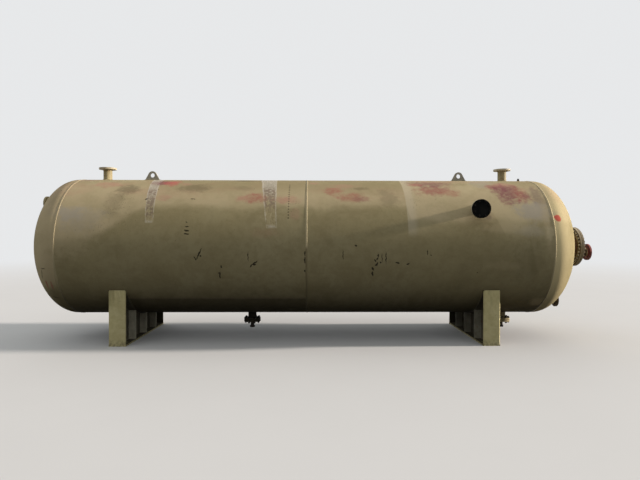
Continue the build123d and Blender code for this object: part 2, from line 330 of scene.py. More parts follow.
# Marks on the shell: metres along from the middle seam, degrees up from the front, half length
# along, half height round the shell, colour, strength. Stains are soft, smears are brushed on.
STAINS = [
    (-3.15, 42, 0.11, 0.3, MAUVE, 0.22), (-2.9, 11, 0.36, 0.32, DUST, 0.52),
    # The tall pale patch low on the left head, at -3.25 m, is painted light on the head's lit face
    (-3.25, -14, 0.1, 0.42, KHAKI_PALE, 0.45), (-2.28, 54, 0.15, 0.12, SOOT, 0.55),
    (-2.4, 38, 0.12, 0.2, SOOT, 0.3), (-2.74, 23, 0.3, 0.19, BARE_GREY, 0.34),
    (-1.45, 57, 0.22, 0.11, SOOT, 0.46), (-1.1, 28, 0.2, 0.18, KHAKI_LIGHT, 0.3),
    (-0.82, 56, 0.15, 0.06, SOOT, 0.24), (-0.84, 76, 0.16, 0.08, SOOT, 0.45),
    (0.68, 56, 0.13, 0.045, SOOT, 0.38), (1.04, 44, 0.14, 0.19, SOOT, 0.3),
    (2.06, 56, 0.15, 0.11, KHAKI_PALE, 0.5), (2.34, 68, 0.16, 0.16, BARE_GREY, 0.5),
    (2.95, 46, 0.09, 0.23, MAUVE, 0.45), (2.25, 25, 0.06, 0.06, MAUVE, 0.5),
    (-2.91, 27, 0.19, 0.11, BARE_GREY, 0.6), (2.82, 30, 0.24, 0.15, BARE_GREY, 0.8),
    (2.97, 17, 0.065, 0.3, DUST, 0.6), (2.76, 14, 0.22, 0.08, BARE_GREY, 0.36),
    (2.42, 16, 0.28, 0.07, DUST, 0.5), (2.99, 12, 0.06, 0.09, KHAKI_PALE, 0.75),
    (2.72, -12, 0.22, 0.26, SOOT, 0.24), (2.42, -14, 0.22, 0.06, DUST, 0.26),
    (3, -50, 0.11, 0.09, DUST, 0.6), (-3.15, -44, 0.05, 0.012, SOOT, 0.7),
    (-2.4, 128, 0.32, 0.22, SOOT, 0.4), (-1.2, 152, 0.26, 0.16, BARE_GREY, 0.4),
    (-0.6, 118, 0.2, 0.12, MAUVE, 0.3), (0.95, 140, 0.3, 0.2, SOOT, 0.34),
    (2.05, 124, 0.26, 0.18, KHAKI_PALE, 0.5), (2.7, 156, 0.22, 0.14, BARE_GREY, 0.45),
]
SMEARS = [
    (-2.98, 80, 0.22, 0.12, MAROON, 0.45), (-2.6, 63, 0.21, 0.1, PINK, 0.62),
    (-1.91, 67, 0.13, 0.11, MAROON, 0.85), (-1.77, 67, 0.12, 0.11, ROSE, 0.78),
    (-1.58, 64, 0.08, 0.06, PINK, 0.5), (-1.8, 43, 0.11, 0.055, PINK, 0.45),
    (-0.65, 43, 0.15, 0.095, RED, 0.72), (-0.8, 42, 0.08, 0.07, PINK, 0.62),
    (-0.26, 41, 0.16, 0.07, PINK, 0.7), (-0.14, 27, 0.08, 0.09, PINK, 0.3),
    (-0.5, 12, 0.2, 0.06, RED, 0.16), (0.1, 67, 0.09, 0.05, PINK, 0.5),
    (0.33, 53, 0.12, 0.085, RED, 0.7), (0.58, 44, 0.19, 0.095, RED, 0.62),
    (0.69, 42, 0.1, 0.06, MAROON, 0.38), (0.46, 60, 0.19, 0.08, PINK, 0.4),
    (-2.1, 133, 0.18, 0.08, PINK, 0.5), (0.4, 126, 0.24, 0.1, RED, 0.45),
    (1.6, 66, 0.3, 0.12, MAROON, 0.72), (1.42, 64, 0.11, 0.06, ROSE, 0.3),
    (1.64, 54, 0.24, 0.12, MAROON, 0.5), (1.62, 53, 0.2, 0.1, RED, 0.5),
    (1.84, 50, 0.16, 0.08, RED, 0.5), (1.7, 74, 0.3, 0.08, PINK, 0.5),
    (2.43, 60, 0.09, 0.08, RED, 0.75), (2.52, 56, 0.13, 0.17, MAROON, 0.95),
    (2.6, 64, 0.18, 0.08, PINK, 0.65), (2.52, 43, 0.08, 0.15, MAROON, 0.6),
    (2.64, 51, 0.16, 0.2, MAROON, 0.85), (2.74, 49, 0.11, 0.16, RED, 0.55),
    (2.8, 44, 0.08, 0.08, MAROON, 0.5), (2.92, 50, 0.11, 0.16, MAUVE, 0.26),
    (3.2, 48, 0.1, 0.16, PINK, 0.18), (-3.2, -31, 0.014, 0.08, RED, 0.85),
    (-3.13, -30, 0.013, 0.06, RED, 0.8),
]

# How much further the marks' ragged edges reach
MARK_SPREAD = 1.3

# Round dabs with a clean edge, given as the marks are
DABS = [
    (3.111, 24.1, 0.046, 0.056, BRIGHT_RED, 0.85), (3.062, 25, 0.026, 0.02, BRIGHT_RED, 0.45),
]

# Fine dark specks, given as the marks are, without colour
SPECKLED = [
    (-2.33, 34, 0.26, 0.26), (-0.18, 33, 0.12, 0.2), (1.36, 42, 0.1, 0.26), (-2.45, 15, 0.3, 0.12),
]

# Strokes down to dark metal: millimetres along and degrees up, the same at the end, half width
SCRATCHES = [
    (-1264, 0, -1339, -9.2, 8), (-1339, -9.2, -1358, -6.6, 7), (-1282, -6.1, -1276, -6.3, 10),
    (-1472, 16.6, -1434, 16.4, 9), (-1474, 13.3, -1430, 13.1, 11), (-1474, 10.6, -1426, 10.6, 10),
    (-1466, 20.2, -1460, 20, 6), (-1450, 41.6, -1402, 41.7, 7), (-2015, 41, -1995, 41.6, 10),
    (-1034, -14, -1036, -14.8, 11), (-1054, -18.8, -1059, -23.9, 9),
    (-1075, -19.8, -1056, -19.4, 8), (-706, -2.3, -708, -10.7, 5), (-684, -14.9, -662, -13, 9),
    (-655, -12.6, -600, -10, 10), (-652, -12.9, -612, -12.5, 8), (-19, -2, -19, -6, 7),
    (-19, -7, -19, -11.5, 10), (-19, -17.4, -19, -18.4, 9), (444, -1.4, 445, -9.1, 6),
    (598, 2, 606, 1.8, 11), (874, -4.6, 872, -6.4, 8), (868, -7.4, 858, -8.6, 11),
    (836, -9.2, 846, -10.2, 10), (868, -11.4, 846, -13.4, 12), (806, -15.4, 816, -16.6, 13),
    (808, -18.8, 812, -21.4, 12), (900, -10.6, 908, -11.4, 10), (919, -3.7, 922, -11.5, 5),
    (967, -2.2, 971, -12.3, 6), (1090, -10.8, 1130, -11.6, 11), (1228, -12.4, 1256, -12, 10),
    (1474, -1.4, 1475, -5.2, 6), (1514, -5.2, 1522, -5.2, 7), (-3226, -16.9, -3168, -16.4, 5),
    (-3226, -16.9, -3247, -27.1, 5),
]

# A line of small dots: metres along, degrees up at its top and bottom, dots, half size
DOTS = (-0.224, 64, 22, 16, 0.0125)

# Bands that a lifting strap rubbed: metres along and degrees up at top and bottom, half widths
# there, the shares of its length between which it is darkest, and how pale it is
STRAPS = [
    ((-1.994, 70), (-1.913, 18.8), (0.064, 0.05), (0.34, 0.86), 0.72),
    ((-0.508, 76), (-0.428, 14.6), (0.104, 0.064), (0.32, 0.68), 0.7),
]

# A length of painted light with a crisp left edge: metres along, degrees at its foot, and how far
# its palest strip goes
LIT_LENGTH_FROM = 1.243
LIT_LENGTH_DOWN_TO = 10
LIT_LENGTH_STRIP = 0.12

# A stretch wiped cleaner, right of a slanting edge: metres along at the axis, change for each
# metre up, degrees at its foot and top, and how far it goes
WIPED_FROM = 2.504
WIPED_SLANT = -0.433
WIPED_BETWEEN = (11, 37)
WIPED_LENGTH = 0.6

# Where the dust above ends, in degrees, and where it reaches lower: metres along where that begins
# and is complete, and by how many degrees
DUST_EDGE = 33
# The last reach, from the lit length on, is painted light that lowers the dust's edge
DUST_LOWER = [(-1.85, -2.75, 27), (-3.03, -3.08, 36), (LIT_LENGTH_FROM, LIT_LENGTH_FROM + 0.05, 12)]

# Where a darker painted shade, with a thin line along its edge, begins under the left course, in
# degrees
UNDER_SHADE_EDGE = -44.5

# Just past the seam between a course and its head
PAST_SEAM = COURSE + 0.004

# Metres along between which zones of paint begin or end: the right head's dust and painted sunlit
# turn, the darker top of the left course, and both ends of the painted shade under it
HEAD_DUST_ENDS = (3.15, 3.35)
HEAD_TURN_ENDS = (3.32, 3.1)
DARKER_TOP_BEGINS = (-2.2, -1.6)
UNDER_SHADE_BEGINS = (-2.5, -2.2)
UNDER_SHADE_ENDS = (0.0, -0.02)

# Spacing of a weld bead's ripples, in metres
BEAD_RIPPLE = 0.008


def blot(skin, ragged, centre, half, soft=0.55):
    """A ragged spot on the skin laid flat."""
    scale = (1 / half[0], 1 / half[1], 0)
    offset = (-centre[0] / half[0], -centre[1] / half[1], 0)
    distance = skin.vector("LENGTH", skin.vector("MULTIPLY_ADD", skin.flat, scale, offset))
    return skin.fade(skin.plus(distance, ragged), 1.0, 1.0 - soft)


def line_mask(skin, flat, start, end, half):
    """A stroke between two points of the skin laid flat."""
    direction = Vector((end[0] - start[0], end[1] - start[1], 0))
    length = direction.length
    unit = direction / length
    across = Vector((-unit.y, unit.x, 0))
    middle = Vector(((start[0] + end[0]) / 2, (start[1] + end[1]) / 2, 0))
    moved = skin.vector("SUBTRACT", flat, tuple(middle))
    run = skin.vector("DOT_PRODUCT", moved, tuple(unit / (length / 2 + half)))
    side = skin.vector("DOT_PRODUCT", moved, tuple(across / half))
    return skin.fade(skin.vector("LENGTH", skin.join(run, side)), 1.1, 0.6)


def shell_paint(name, x_low, x_high, base=KHAKI, light=KHAKI_LIGHT):
    """The weathered khaki of a course or a head, with the marks that lie on it."""
    skin = ShellSurface(name, 0.05)
    colour = zoned(skin, weathered(skin, base, light))
    ragged = skin.minus(skin.product(skin.noise(10, 8, 0.72), 2.0), 1.0)
    brushed = skin.noise(1.0, 8, 0.72, (13, 19, 19), distortion=0.6)
    torn = skin.fade(brushed, 0.38, 0.6, 0.56, 1.0)

    def lies_here(x, half=0.0):
        return x_low - half <= x <= x_high + half

    def marked(colour, marks, cover):
        for x, degrees, half_x, half_up, tint, strength in marks:
            if lies_here(x, half_x):
                half = (half_x * MARK_SPREAD, half_up * MARK_SPREAD)
                spot = blot(skin, ragged, (x, arc(degrees)), half, 0.7)
                colour = skin.mix(skin.product(spot, cover, strength), colour, tint)
        return colour

    colour = marked(colour, STAINS, 0.85)
    for band in STRAPS:
        if lies_here(band[0][0]):
            colour = strap(skin, colour, *band)
    colour = marked(colour, SMEARS, torn)
    for x, degrees, half_x, half_up, tint, strength in DABS:
        if lies_here(x):
            little = skin.product(ragged, 0.4)
            spot = blot(skin, little, (x, arc(degrees)), (half_x, half_up), 0.35)
            colour = skin.mix(skin.product(spot, strength), colour, tint)
    for x, degrees, half_x, half_up in SPECKLED:
        if lies_here(x):
            field = blot(skin, ragged, (x, arc(degrees)), (half_x, half_up))
            fine = strewn(skin, 75, 0.3, 0.34)
            colour = skin.mix(skin.product(field, fine, 0.8), colour, SOOT)
    colour = scratched(skin, colour, lies_here)
    if lies_here(DOTS[0]):
        colour = skin.mix(dot_line(skin, *DOTS), colour, GRIME_AND_SHADE)
    colour = specks(skin, colour, 9, 0.05, SOOT, 0.08)
    colour = specks(skin, colour, 34, 0.04, RUST_DARK, 0.12)
    orange_peel(skin, 0.8)
    return skin.finish(colour, (6, 0.74, 0.9, 5), 0.003)


def scratched(skin, colour, lies_here):
    """The strokes down to dark metal, with a slightly uneven run."""
    jitter = skin.product(skin.minus(skin.noise(34, 4), 0.5), 0.03)
    uneven = skin.join(skin.plus(skin.along, jitter), skin.minus(skin.up, jitter))
    for x, low, end_x, high, half in SCRATCHES:
        if lies_here(x / 1000):
            ends = (x / 1000, arc(low)), (end_x / 1000, arc(high))
            stroke = line_mask(skin, uneven, *ends, half / 1000 * 1.1)
            colour = skin.mix(skin.product(stroke, 0.88), colour, BLACK)
    return colour


def zoned(skin, colour):
    """The shell's zones: dust above, painted light on the right, painted shade beneath."""
    return painted_shade_beneath(skin, paled(skin, dusted(skin, colour)))


def dusted(skin, colour):
    """Dust pales the paint down to an uneven edge, with dimmer paint below it."""
    lower = [skin.by_along(start, end, 0.0, -arc(degrees)) for start, end, degrees in DUST_LOWER]
    edge = skin.plus(*lower, arc(DUST_EDGE))
    wave = skin.math("MULTIPLY_ADD", skin.noise(2.2, 5, 0.6), arc(14), arc(-7))
    height = skin.minus(skin.plus(skin.level, wave), edge)
    above = skin.fade(height, arc(-4), arc(4))
    thick = skin.patchy(3.2, 0.3, 0.62, 0.45, 0.95, 7)
    thin_on_top = skin.by_level(50, 72, 1.0, 0.25)
    less_at_right_end = skin.by_along(*HEAD_DUST_ENDS, 1.0, 0.35)
    colour = skin.mix(skin.product(above, thick, thin_on_top, less_at_right_end), colour, DUST)
    colour = skin.mix(skin.product(skin.minus(1.0, above), 0.34), colour, KHAKI_DIM)
    haze = skin.fade(skin.noise(2.3, 6, 0.65, (0.7, 1.5, 1.5), (2, 2, 9)), 0.46, 0.7)
    band = skin.product(skin.by_level(36, 50), skin.by_level(88, 76))
    return skin.mix(skin.product(band, haze, 0.26), colour, PINK)


def paled(skin, colour):
    """Painted light on the right: a lit length and a sunlit turn on the head; and darker paint on
    top of the rest.
    """
    past = skin.minus(skin.along, LIT_LENGTH_FROM)
    starts = skin.fade(past, -0.004, 0.008)
    before = skin.minus(1.0, starts)
    # Darker paint on top, from within the left course up to the lit length
    darker_top = skin.product(skin.by_level(42, 60, 0.0, 0.5), skin.by_along(*DARKER_TOP_BEGINS), before)
    colour = skin.mix(darker_top, colour, KHAKI_DARK)
    # Painted sunlight on the right head's turn by the seam, strongest low down
    on_right_head = skin.math("GREATER_THAN", skin.along, PAST_SEAM)
    lower = skin.by_level(52, 24, 0.25, 0.9)
    turn = skin.product(on_right_head, skin.by_along(*HEAD_TURN_ENDS), lower)
    colour = skin.mix(turn, colour, KHAKI_SUNLIT_TURN)
    # Painted light on the lit length, palest in a strip at its left edge
    foot = skin.by_level(LIT_LENGTH_DOWN_TO - 3, LIT_LENGTH_DOWN_TO + 5)
    near = skin.fade(past, LIT_LENGTH_STRIP + 0.03, LIT_LENGTH_STRIP - 0.06)
    strip = skin.product(starts, foot, near, 0.2)
    panel = skin.product(starts, foot, skin.fade(past, 0.75, 0.1), 0.25)
    colour = skin.mix(strip, skin.mix(panel, colour, KHAKI_PALE), CHALK)
    slant = skin.math("MULTIPLY_ADD", skin.up, WIPED_SLANT, WIPED_FROM)
    slanted = skin.minus(skin.along, slant)
    low, high = WIPED_BETWEEN
    wiped = skin.product(
        skin.fade(slanted, -0.006, 0.012),
        skin.fade(slanted, WIPED_LENGTH, WIPED_LENGTH * 0.4),
        skin.fade(skin.up, arc(low - 4), arc(low + 4)),
        skin.fade(skin.up, arc(high + 8), arc(high - 8)),
        0.4,
    )
    return skin.mix(wiped, colour, KHAKI_PALE)


def painted_shade_beneath(skin, colour):
    """Painted shade beneath, less on the heads, and more of it with a thin edge line under the left
    course.
    """
    on_head = skin.math("GREATER_THAN", skin.math("ABSOLUTE", skin.along), PAST_SEAM)
    less = skin.math("MULTIPLY_ADD", on_head, -0.45, 1.0)
    shade_share = skin.product(skin.by_level(-20, -80, 0.0, 0.85), less)
    colour = skin.mix(shade_share, colour, GRIME_AND_SHADE)
    under_shade_span = skin.product(skin.by_along(*UNDER_SHADE_BEGINS), skin.by_along(*UNDER_SHADE_ENDS))
    off_edge = skin.math("ABSOLUTE", skin.minus(skin.level, arc(UNDER_SHADE_EDGE)))
    rim = skin.fade(off_edge, 0.012, 0.004)
    below = skin.by_level(UNDER_SHADE_EDGE, UNDER_SHADE_EDGE - 1.5, 0.0, 0.4)
    colour = skin.mix(skin.product(under_shade_span, rim, 0.35), colour, MAUVE)
    return skin.mix(skin.product(under_shade_span, below), colour, BLACK)


def strap(skin, colour, top, low, halves, darkest, paleness):
    """A slanting band: grey above, dark in the middle, dull below, with pale rims."""
    length = arc(top[1]) - arc(low[1])
    run = skin.math("MULTIPLY_ADD", skin.up, -1 / length, arc(top[1]) / length)
    centre = skin.math("MULTIPLY_ADD", run, low[0] - top[0], top[0])
    half = skin.math("MULTIPLY_ADD", run, halves[1] - halves[0], halves[0])
    sway = skin.math("MULTIPLY_ADD", skin.noise(9, 4), 0.2, -0.1)
    aside = skin.math("DIVIDE", skin.minus(skin.along, centre), half)
    side = skin.plus(skin.math("ABSOLUTE", aside), sway)
    scratch = skin.fade(skin.noise(1.0, 6, 0.7, (110, 10, 10)), 0.46, 0.58)
    net = skin.patchy(46, 0.42, 0.58)
    pale = skin.product(skin.math("MAXIMUM", scratch, skin.product(net, 0.6)), paleness)
    grey = skin.mix(pale, BARE_GREY, CHALK)
    dull = skin.mix(pale, KHAKI_DARK, KHAKI_PALE)
    worn = skin.mix(skin.fade(run, *darkest), grey, dull)
    dark = skin.product(
        skin.fade(run, darkest[0] - 0.08, darkest[0] + 0.05),
        skin.fade(run, darkest[1] + 0.12, darkest[1] - 0.06),
        skin.fade(side, 0.98, 0.78),
        skin.patchy(26, 0.4, 0.54),
        0.8,
    )
    worn = skin.mix(dark, worn, MAUVE)
    broken = skin.patchy(16, 0.4, 0.54)
    edges = skin.math("MAXIMUM", skin.fade(side, 0.74, 0.9), skin.fade(run, 0.93, 0.97))
    worn = skin.mix(skin.product(edges, broken, paleness * 0.85), worn, CHALK)
    within = skin.product(
        skin.fade(side, 1.06, 0.96),
        skin.fade(run, -0.6, -0.2),
        skin.fade(run, 1.0, 0.97),
        skin.patchy(12, 0.3, 0.46, 0.35, 0.72),
    )
    return skin.mix(within, colour, worn)


def dot_line(skin, x, top, bottom, count, half):
    """Evenly spaced dots up the shell at one place along it."""
    pitch = (arc(top) - arc(bottom)) / count
    over = skin.math("GREATER_THAN", skin.up, arc(bottom))
    under = skin.math("LESS_THAN", skin.up, arc(top))
    step = skin.math("PINGPONG", skin.up, pitch / 2)
    distance = skin.vector("LENGTH", skin.join(step, skin.minus(skin.along, x)))
    return skin.product(skin.fade(distance, half, half * 0.5), skin.product(over, under, 0.7))


def weld_paint():
    """Painted weld metal: the paint's colours over the ripples of a bead, with painted light on the
    middle seam above the axis and on the heads' seams low down.
    """
    skin = ShellSurface("weld_paint", 0.1)
    from_middle = skin.math("ABSOLUTE", skin.along)
    dim = weathered(skin, WELD_DIM, KHAKI_DARK, WELD_DIM)
    # Painted light: the middle seam pale above the axis, where it is lit, and the heads' seams pale
    # low down
    bright = skin.product(skin.fade(from_middle, 2.0, 1.0), skin.fade(skin.level, -0.02, 0.02))
    low = skin.fade(skin.level, -0.75, -0.35)
    at_ends = skin.product(skin.fade(from_middle, 2.5, 3.0), low, 0.8)
    colour = skin.mix(at_ends, skin.mix(bright, dim, KHAKI_PALE), KHAKI_PALE)
    colour = zoned(skin, colour)
    skin.rise(skin.math("SINE", skin.product(skin.up, 2 * math.pi / BEAD_RIPPLE)), 0.35)
    skin.rise(skin.noise(60, 4), 0.5)
    return skin.finish(colour, (9, 0.45, 0.65, 4))


def black_paint():
    """Dull black paint, dusty and rubbed through to brown in places."""
    look = Surface("black_paint", specular=0.06)
    colour = look.tinted(srgb(12, 12, 12), srgb(26, 25, 23), 7, 0.4, 0.7, rough=0.6)
    colour = look.tinted(colour, srgb(56, 48, 38), 24, 0.62, 0.76, 0.5, detail=8)
    orange_peel(look, 0.4)
    return look.finish(colour, (10, 0.65, 0.85, 4))


def back_painted_shade(look, colour, shade_colour):
    """Painted shade on the faces that look back along the vessel, away from the key light."""
    return look.mix(look.fade(look.normal()[0], -0.3, -0.8, 0.0, 0.8), colour, shade_colour)


def primer_red():
    """Chalky red primer with rust and dark patches in it, and painted shade on the back."""
    look = Surface("primer_red")
    colour = look.tinted(srgb(134, 56, 52), srgb(182, 110, 102), 9, 0.35, 0.65, rough=0.6)
    colour = look.tinted(colour, RUST_DARK, 22, 0.48, 0.7, 0.85, detail=8)
    colour = back_painted_shade(look, colour, srgb(58, 34, 28))
    orange_peel(look, 0.4)
    return look.finish(colour, (12, 0.6, 0.85, 4))


def manway_flange_paint():
    """The manway flange's paint, with painted shade on its back."""
    look = Surface("manway_flange_paint", specular=0.1)
    colour = weathered(look, srgb(172, 162, 138), srgb(186, 177, 156), srgb(140, 126, 100))
    colour = back_painted_shade(look, colour, srgb(74, 62, 46))
    colour = look.tinted(colour, RUST, 28, 0.56, 0.68, 0.6, detail=8)
    orange_peel(look, 0.3)
    return look.finish(colour, (8, 0.6, 0.8, 4))


def rusted_steel(name, first, second, third):
    """Steel with uneven rust and some old paint."""
    look = Surface(name, metallic=0.15)
    colour = look.tinted(srgb(*first), srgb(*second), 18, 0.35, 0.65, detail=8)
    colour = look.tinted(colour, srgb(*third), 5, 0.5, 0.75, 0.6, detail=5, rough=0.55)
    look.rise(look.noise(120, 6, 0.7), 0.6)
    return look.finish(colour, (20, 0.65, 0.9, 4))


def bolt_steel(name, base, worn, metallic, specular):
    """Studs and nuts under thin overspray, with rust coming through."""
    look = Surface(name, metallic=metallic, specular=specular)
    colour = look.tinted(srgb(*base), srgb(*worn), 40, 0.35, 0.65)
    colour = look.tinted(colour, RUST_DARK, 75, 0.54, 0.7, 0.8)
    look.rise(look.noise(300, 4), 0.4)
    return look.finish(colour, (30, 0.5, 0.75, 4), 0.001)


def gasket():
    """Pressed sheet at the joint's edge, pale with dust."""
    look = Surface("gasket", roughness=0.85)
    grey, pale = srgb(112, 106, 94), srgb(140, 132, 116)
    colour = look.tinted(grey, pale, 40, 0.4, 0.6, detail=5, rough=0.55)
    look.rise(look.noise(200, 4), 0.3)
    return look.finish(colour)


def saddle_paint():
    """Yellower khaki, with dark runs, soiled feet, and painted shade on what faces up or inward."""
    look = Surface("saddle_paint", specular=0.1)
    colour = weathered(look, srgb(200, 189, 138), srgb(206, 196, 150), srgb(180, 168, 120))
    across, height = look.axes(look.place)[1:3]
    runs = look.fade(look.noise(1.0, 5, 0.6, (16, 16, 2.2)), 0.5, 0.68)
    upper = look.fade(height, 0.34, 0.66)
    colour = look.mix(look.product(runs, upper, 0.5), colour, srgb(136, 126, 88))
    crust = look.patchy(30, 0.4, 0.6)
    soil = look.product(look.fade(height, 0.1, 0.02), crust, 0.6)
    colour = look.mix(soil, colour, srgb(96, 88, 72))
    # Painted shade: faces turned in between the end plates, and faces looking up under the vessel
    normal = look.normal()
    inward = look.product(normal[1], across)
    colour = look.mix(look.fade(inward, -0.1, -0.3, 0.0, 0.9), colour, GRIME_AND_SHADE)
    colour = look.mix(look.fade(normal[2], 0.5, 0.9, 0.0, 0.85), colour, GRIME_AND_SHADE)
    colour = specks(look, colour, 60, 0.04, RUST_DARK)
    orange_peel(look, 0.3)
    return look.finish(colour, (8, 0.58, 0.78, 4))


# Smaller pieces' paints: base, light and dark colour, how far rust breaks through, gloss if low
PLAIN_PAINTS = {
    "nozzle_paint": ((158, 146, 109), (168, 157, 122), (138, 126, 92), 0.1),
    # The bottom left nozzle's near-black copy of the nozzle paint is painted shade, in the vessel's
    # shadow
    "nozzle_shaded_paint": ((46, 42, 33), (56, 51, 40), (32, 29, 24), 0.06, 0.08),
    "neck_brown": ((112, 94, 66), (128, 112, 82), (84, 66, 44), 0.2),
    "flange_paint": ((186, 176, 150), (202, 193, 172), (160, 148, 116), 0.06),
    "manway_paint": ((162, 150, 128), (174, 164, 144), (134, 120, 96), 0.06),
    "lug_paint": ((168, 163, 148), (178, 173, 158), (140, 134, 118), 0.04),
    # The web and wear plates take a darker copy of the saddle paint, as painted shade under the
    # vessel
    "saddle_web_paint": ((98, 93, 78), (112, 106, 90), (70, 64, 52), 0.06, 0.08),
    # The ribs take two copies of one paint: the left lighter as painted light, the right darker as
    # painted shade
    "rib_paint_left": ((184, 179, 158), (194, 189, 168), (150, 144, 124), 0.06),
    "rib_paint_right": ((138, 134, 116), (150, 146, 128), (108, 102, 86), 0.06),
}

# Steels under rust: two colours of rust and the old paint's
RUSTED_STEELS = {
    "rusted_steel": ((50, 40, 30), (88, 68, 46), (112, 98, 72)),
    "plug_steel": ((34, 31, 28), (62, 55, 46), (84, 76, 60)),
    "cover_neck_rust": ((58, 44, 32), (92, 70, 46), (138, 126, 92)),
}

# Bolting: its colour, its worn colour, how metallic it is, and its gloss
BOLT_STEELS = {
    "bolts_dark": ((17, 17, 17), (28, 26, 24), 0.0, 0.05),
    "bolts_grimy": ((58, 52, 42), (96, 87, 68), 0.4, 0.25),
    "bolts_painted": ((192, 184, 162), (152, 142, 118), 0.0, 0.25),
}

# Finishes of the nodes that don't take the one named like their slot
NODE_FINISHES = {
    "shell_left_paint": ["shell_course_left"],
    "shell_right_paint": ["shell_course_right"],
    "head_left_paint": ["head_left"],
    "head_right_paint": ["head_right"],
    "saddle_web_paint": [
        side + plate
        for side in ("left_saddle_", "right_saddle_")
        for plate in ("web_plate", "wear_plate")
    ],
    "rib_paint_left": ["left_saddle_ribs"],
    "rib_paint_right": ["right_saddle_ribs"],
    "nozzle_shaded_paint": ["bottom_left_nozzle_" + part for part in ("neck", "flange", "blind")],
    "cover_neck_rust": ["cover_nozzle_neck"],
    "neck_brown": ["manway_neck", "right_head_nozzle_neck"],
    "manway_flange_paint": ["manway_flange"],
    "flange_paint": [f"{place}_nozzle_flange" for place in ("side", "top_left", "top_right")],
}


def make_finishes():
    """Every finish by its name."""
    reach = 2 * COURSE
    past = COURSE + 0.01
    single = (weld_paint, saddle_paint, manway_flange_paint, black_paint, primer_red, gasket)
    made = {make.__name__: make() for make in single}
    for name, x_low, x_high, *colours in (
        ("shell_left_paint", -COURSE, 0),
        ("shell_right_paint", 0, COURSE),
        ("head_left_paint", -reach, -past),
        # The right head takes lighter copies of the khaki, as painted sunlight
        ("head_right_paint", past, reach, KHAKI_SUNLIT, KHAKI_PALE),
    ):
        made[name] = shell_paint(name, x_low, x_high, *colours)
    for name, values in PLAIN_PAINTS.items():
        made[name] = simple_paint(name, *values)
    for name, colours in RUSTED_STEELS.items():
        made[name] = rusted_steel(name, *colours)
    return made


def paint_nodes(finishes):
    """Give each CAD node its own finish, or else its slot's."""
    names = {part["node"]: part["material_slot"] for part in frame["record"]["subparts"]}
    names.update({node: name for name, nodes in NODE_FINISHES.items() for node in nodes})
    for node, piece in frame["nodes"].items():
        piece.data.materials.clear()
        piece.data.materials.append(finishes[names[node]])


# Meshes made from rings of points


def mesh_piece(name, parts, material):
    """One object from several (points, faces), riding on the vessel."""
    points, faces = [], []
    for part_points, part_faces in parts:
        start = len(points)
        points += part_points
        faces += [[start + i for i in face] for face in part_faces]
    mesh = bpy.data.meshes.new(name)
    mesh.from_pydata([tuple(p) for p in points], [], faces)
    mesh.validate()
    mesh.update()
    mesh.polygons.foreach_set("use_smooth", [True] * len(mesh.polygons))
    mesh.set_sharp_from_angle(angle=SHARP_FROM)
    mesh.materials.append(material)
    piece = added(name, mesh)
    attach(piece, "root")


def tube(rings, closed_along=False):
    """Faces between equally long rings of points, with the ends capped if open."""
    count = len(rings[0])
    points = [p for ring in rings for p in ring]
    faces = []
    for i in range(len(rings) if closed_along else len(rings) - 1):
        here, there = i * count, (i + 1) % len(rings) * count
        for j in range(count):
            k = (j + 1) % count
            faces.append([here + j, here + k, there + k, there + j])
    if not closed_along:
        faces.append(list(reversed(range(count))))
        faces.append([(len(rings) - 1) * count + j for j in range(count)])
    return points, faces


def polar(radius, angle, height=0.0):
    return Vector((radius * math.cos(angle), radius * math.sin(angle), height))


def turns(count):
    """The angles of a full turn in equal steps."""
    return [2 * math.pi * i / count for i in range(count)]


def circle(radius, height, sides):
    return [polar(radius, angle, height) for angle in turns(sides)]


def moved(part, matrix):
    points, faces = part
    return [matrix @ Vector(p) for p in points], faces


NUT_SIDES = 24
ROD_SIDES = 12
BEAD_SIDES = 8
THREAD_PITCH = 0.0025
SHARP_FROM = math.radians(35)


def hex_nut(across_flats, height, bore):
    """A heavy nut from height 0 up, with both faces chamfered."""
    corner = across_flats / math.sqrt(3)
    flat = across_flats / 2
    chamfer = (corner - flat) * 0.6

    def outline(limit, z):
        ring = []
        for angle in turns(NUT_SIDES):
            in_sector = (angle + math.pi / 6) % (math.pi / 3) - math.pi / 6
            ring.append(polar(min(flat / math.cos(in_sector), limit), angle, z))
        return ring

    rings = [
        circle(bore / 2, 0, NUT_SIDES),
        outline(flat * 0.97, 0),
        outline(corner, chamfer),
        outline(corner, height - chamfer),
        outline(flat * 0.97, height),
        circle(bore / 2, height, NUT_SIDES),
    ]
    return tube(rings, closed_along=True)


def threaded_rod(diameter, low, high):
    """A rod whose sides rise and fall like a thread's, with chamfered ends."""
    radius = diameter / 2
    root = radius - 0.6 * THREAD_PITCH
    end = radius - 1.2 * THREAD_PITCH
    rings = [circle(end, low, ROD_SIDES)]
    crests = int((high - low) / THREAD_PITCH)
    for i in range(crests):
        start = low + (high - low) * i / crests
        rings.append(circle(root, start + 0.15 * THREAD_PITCH, ROD_SIDES))
        rings.append(circle(radius, start + 0.6 * THREAD_PITCH, ROD_SIDES))
    rings.append(circle(end, high, ROD_SIDES))
    return tube(rings)


# Studs of five eighths of an inch with heavy nuts
STUD_D = 0.0159
NUT_FLATS = 0.027
NUT_HEIGHT = 0.0159

# How far a stud stands proud of its nuts
STUD_PROUD = 0.35 * STUD_D

# The closed joints: which way the cover faces, its name, the flange's thickness, the hole circle's
# diameter, the holes, and the bolting's finish
JOINTS = {
    "side_nozzle": ((0, -1, 0), "cover", 0.0239, 0.1905, 8, "bolts_dark"),
    # The bottom left joint's dark bolting, darker than the right's, is painted shade
    "bottom_left_nozzle": ((0, 0, -1), "blind", 0.0239, 0.1905, 8, "bolts_dark"),
    "bottom_right_nozzle": ((0, 0, -1), "blind", 0.0239, 0.1905, 8, "bolts_grimy"),
    "manway": ((1, 0, 0), "cover", 0.0254, 0.486, 32, "bolts_painted"),
}
GASKET = 0.0032


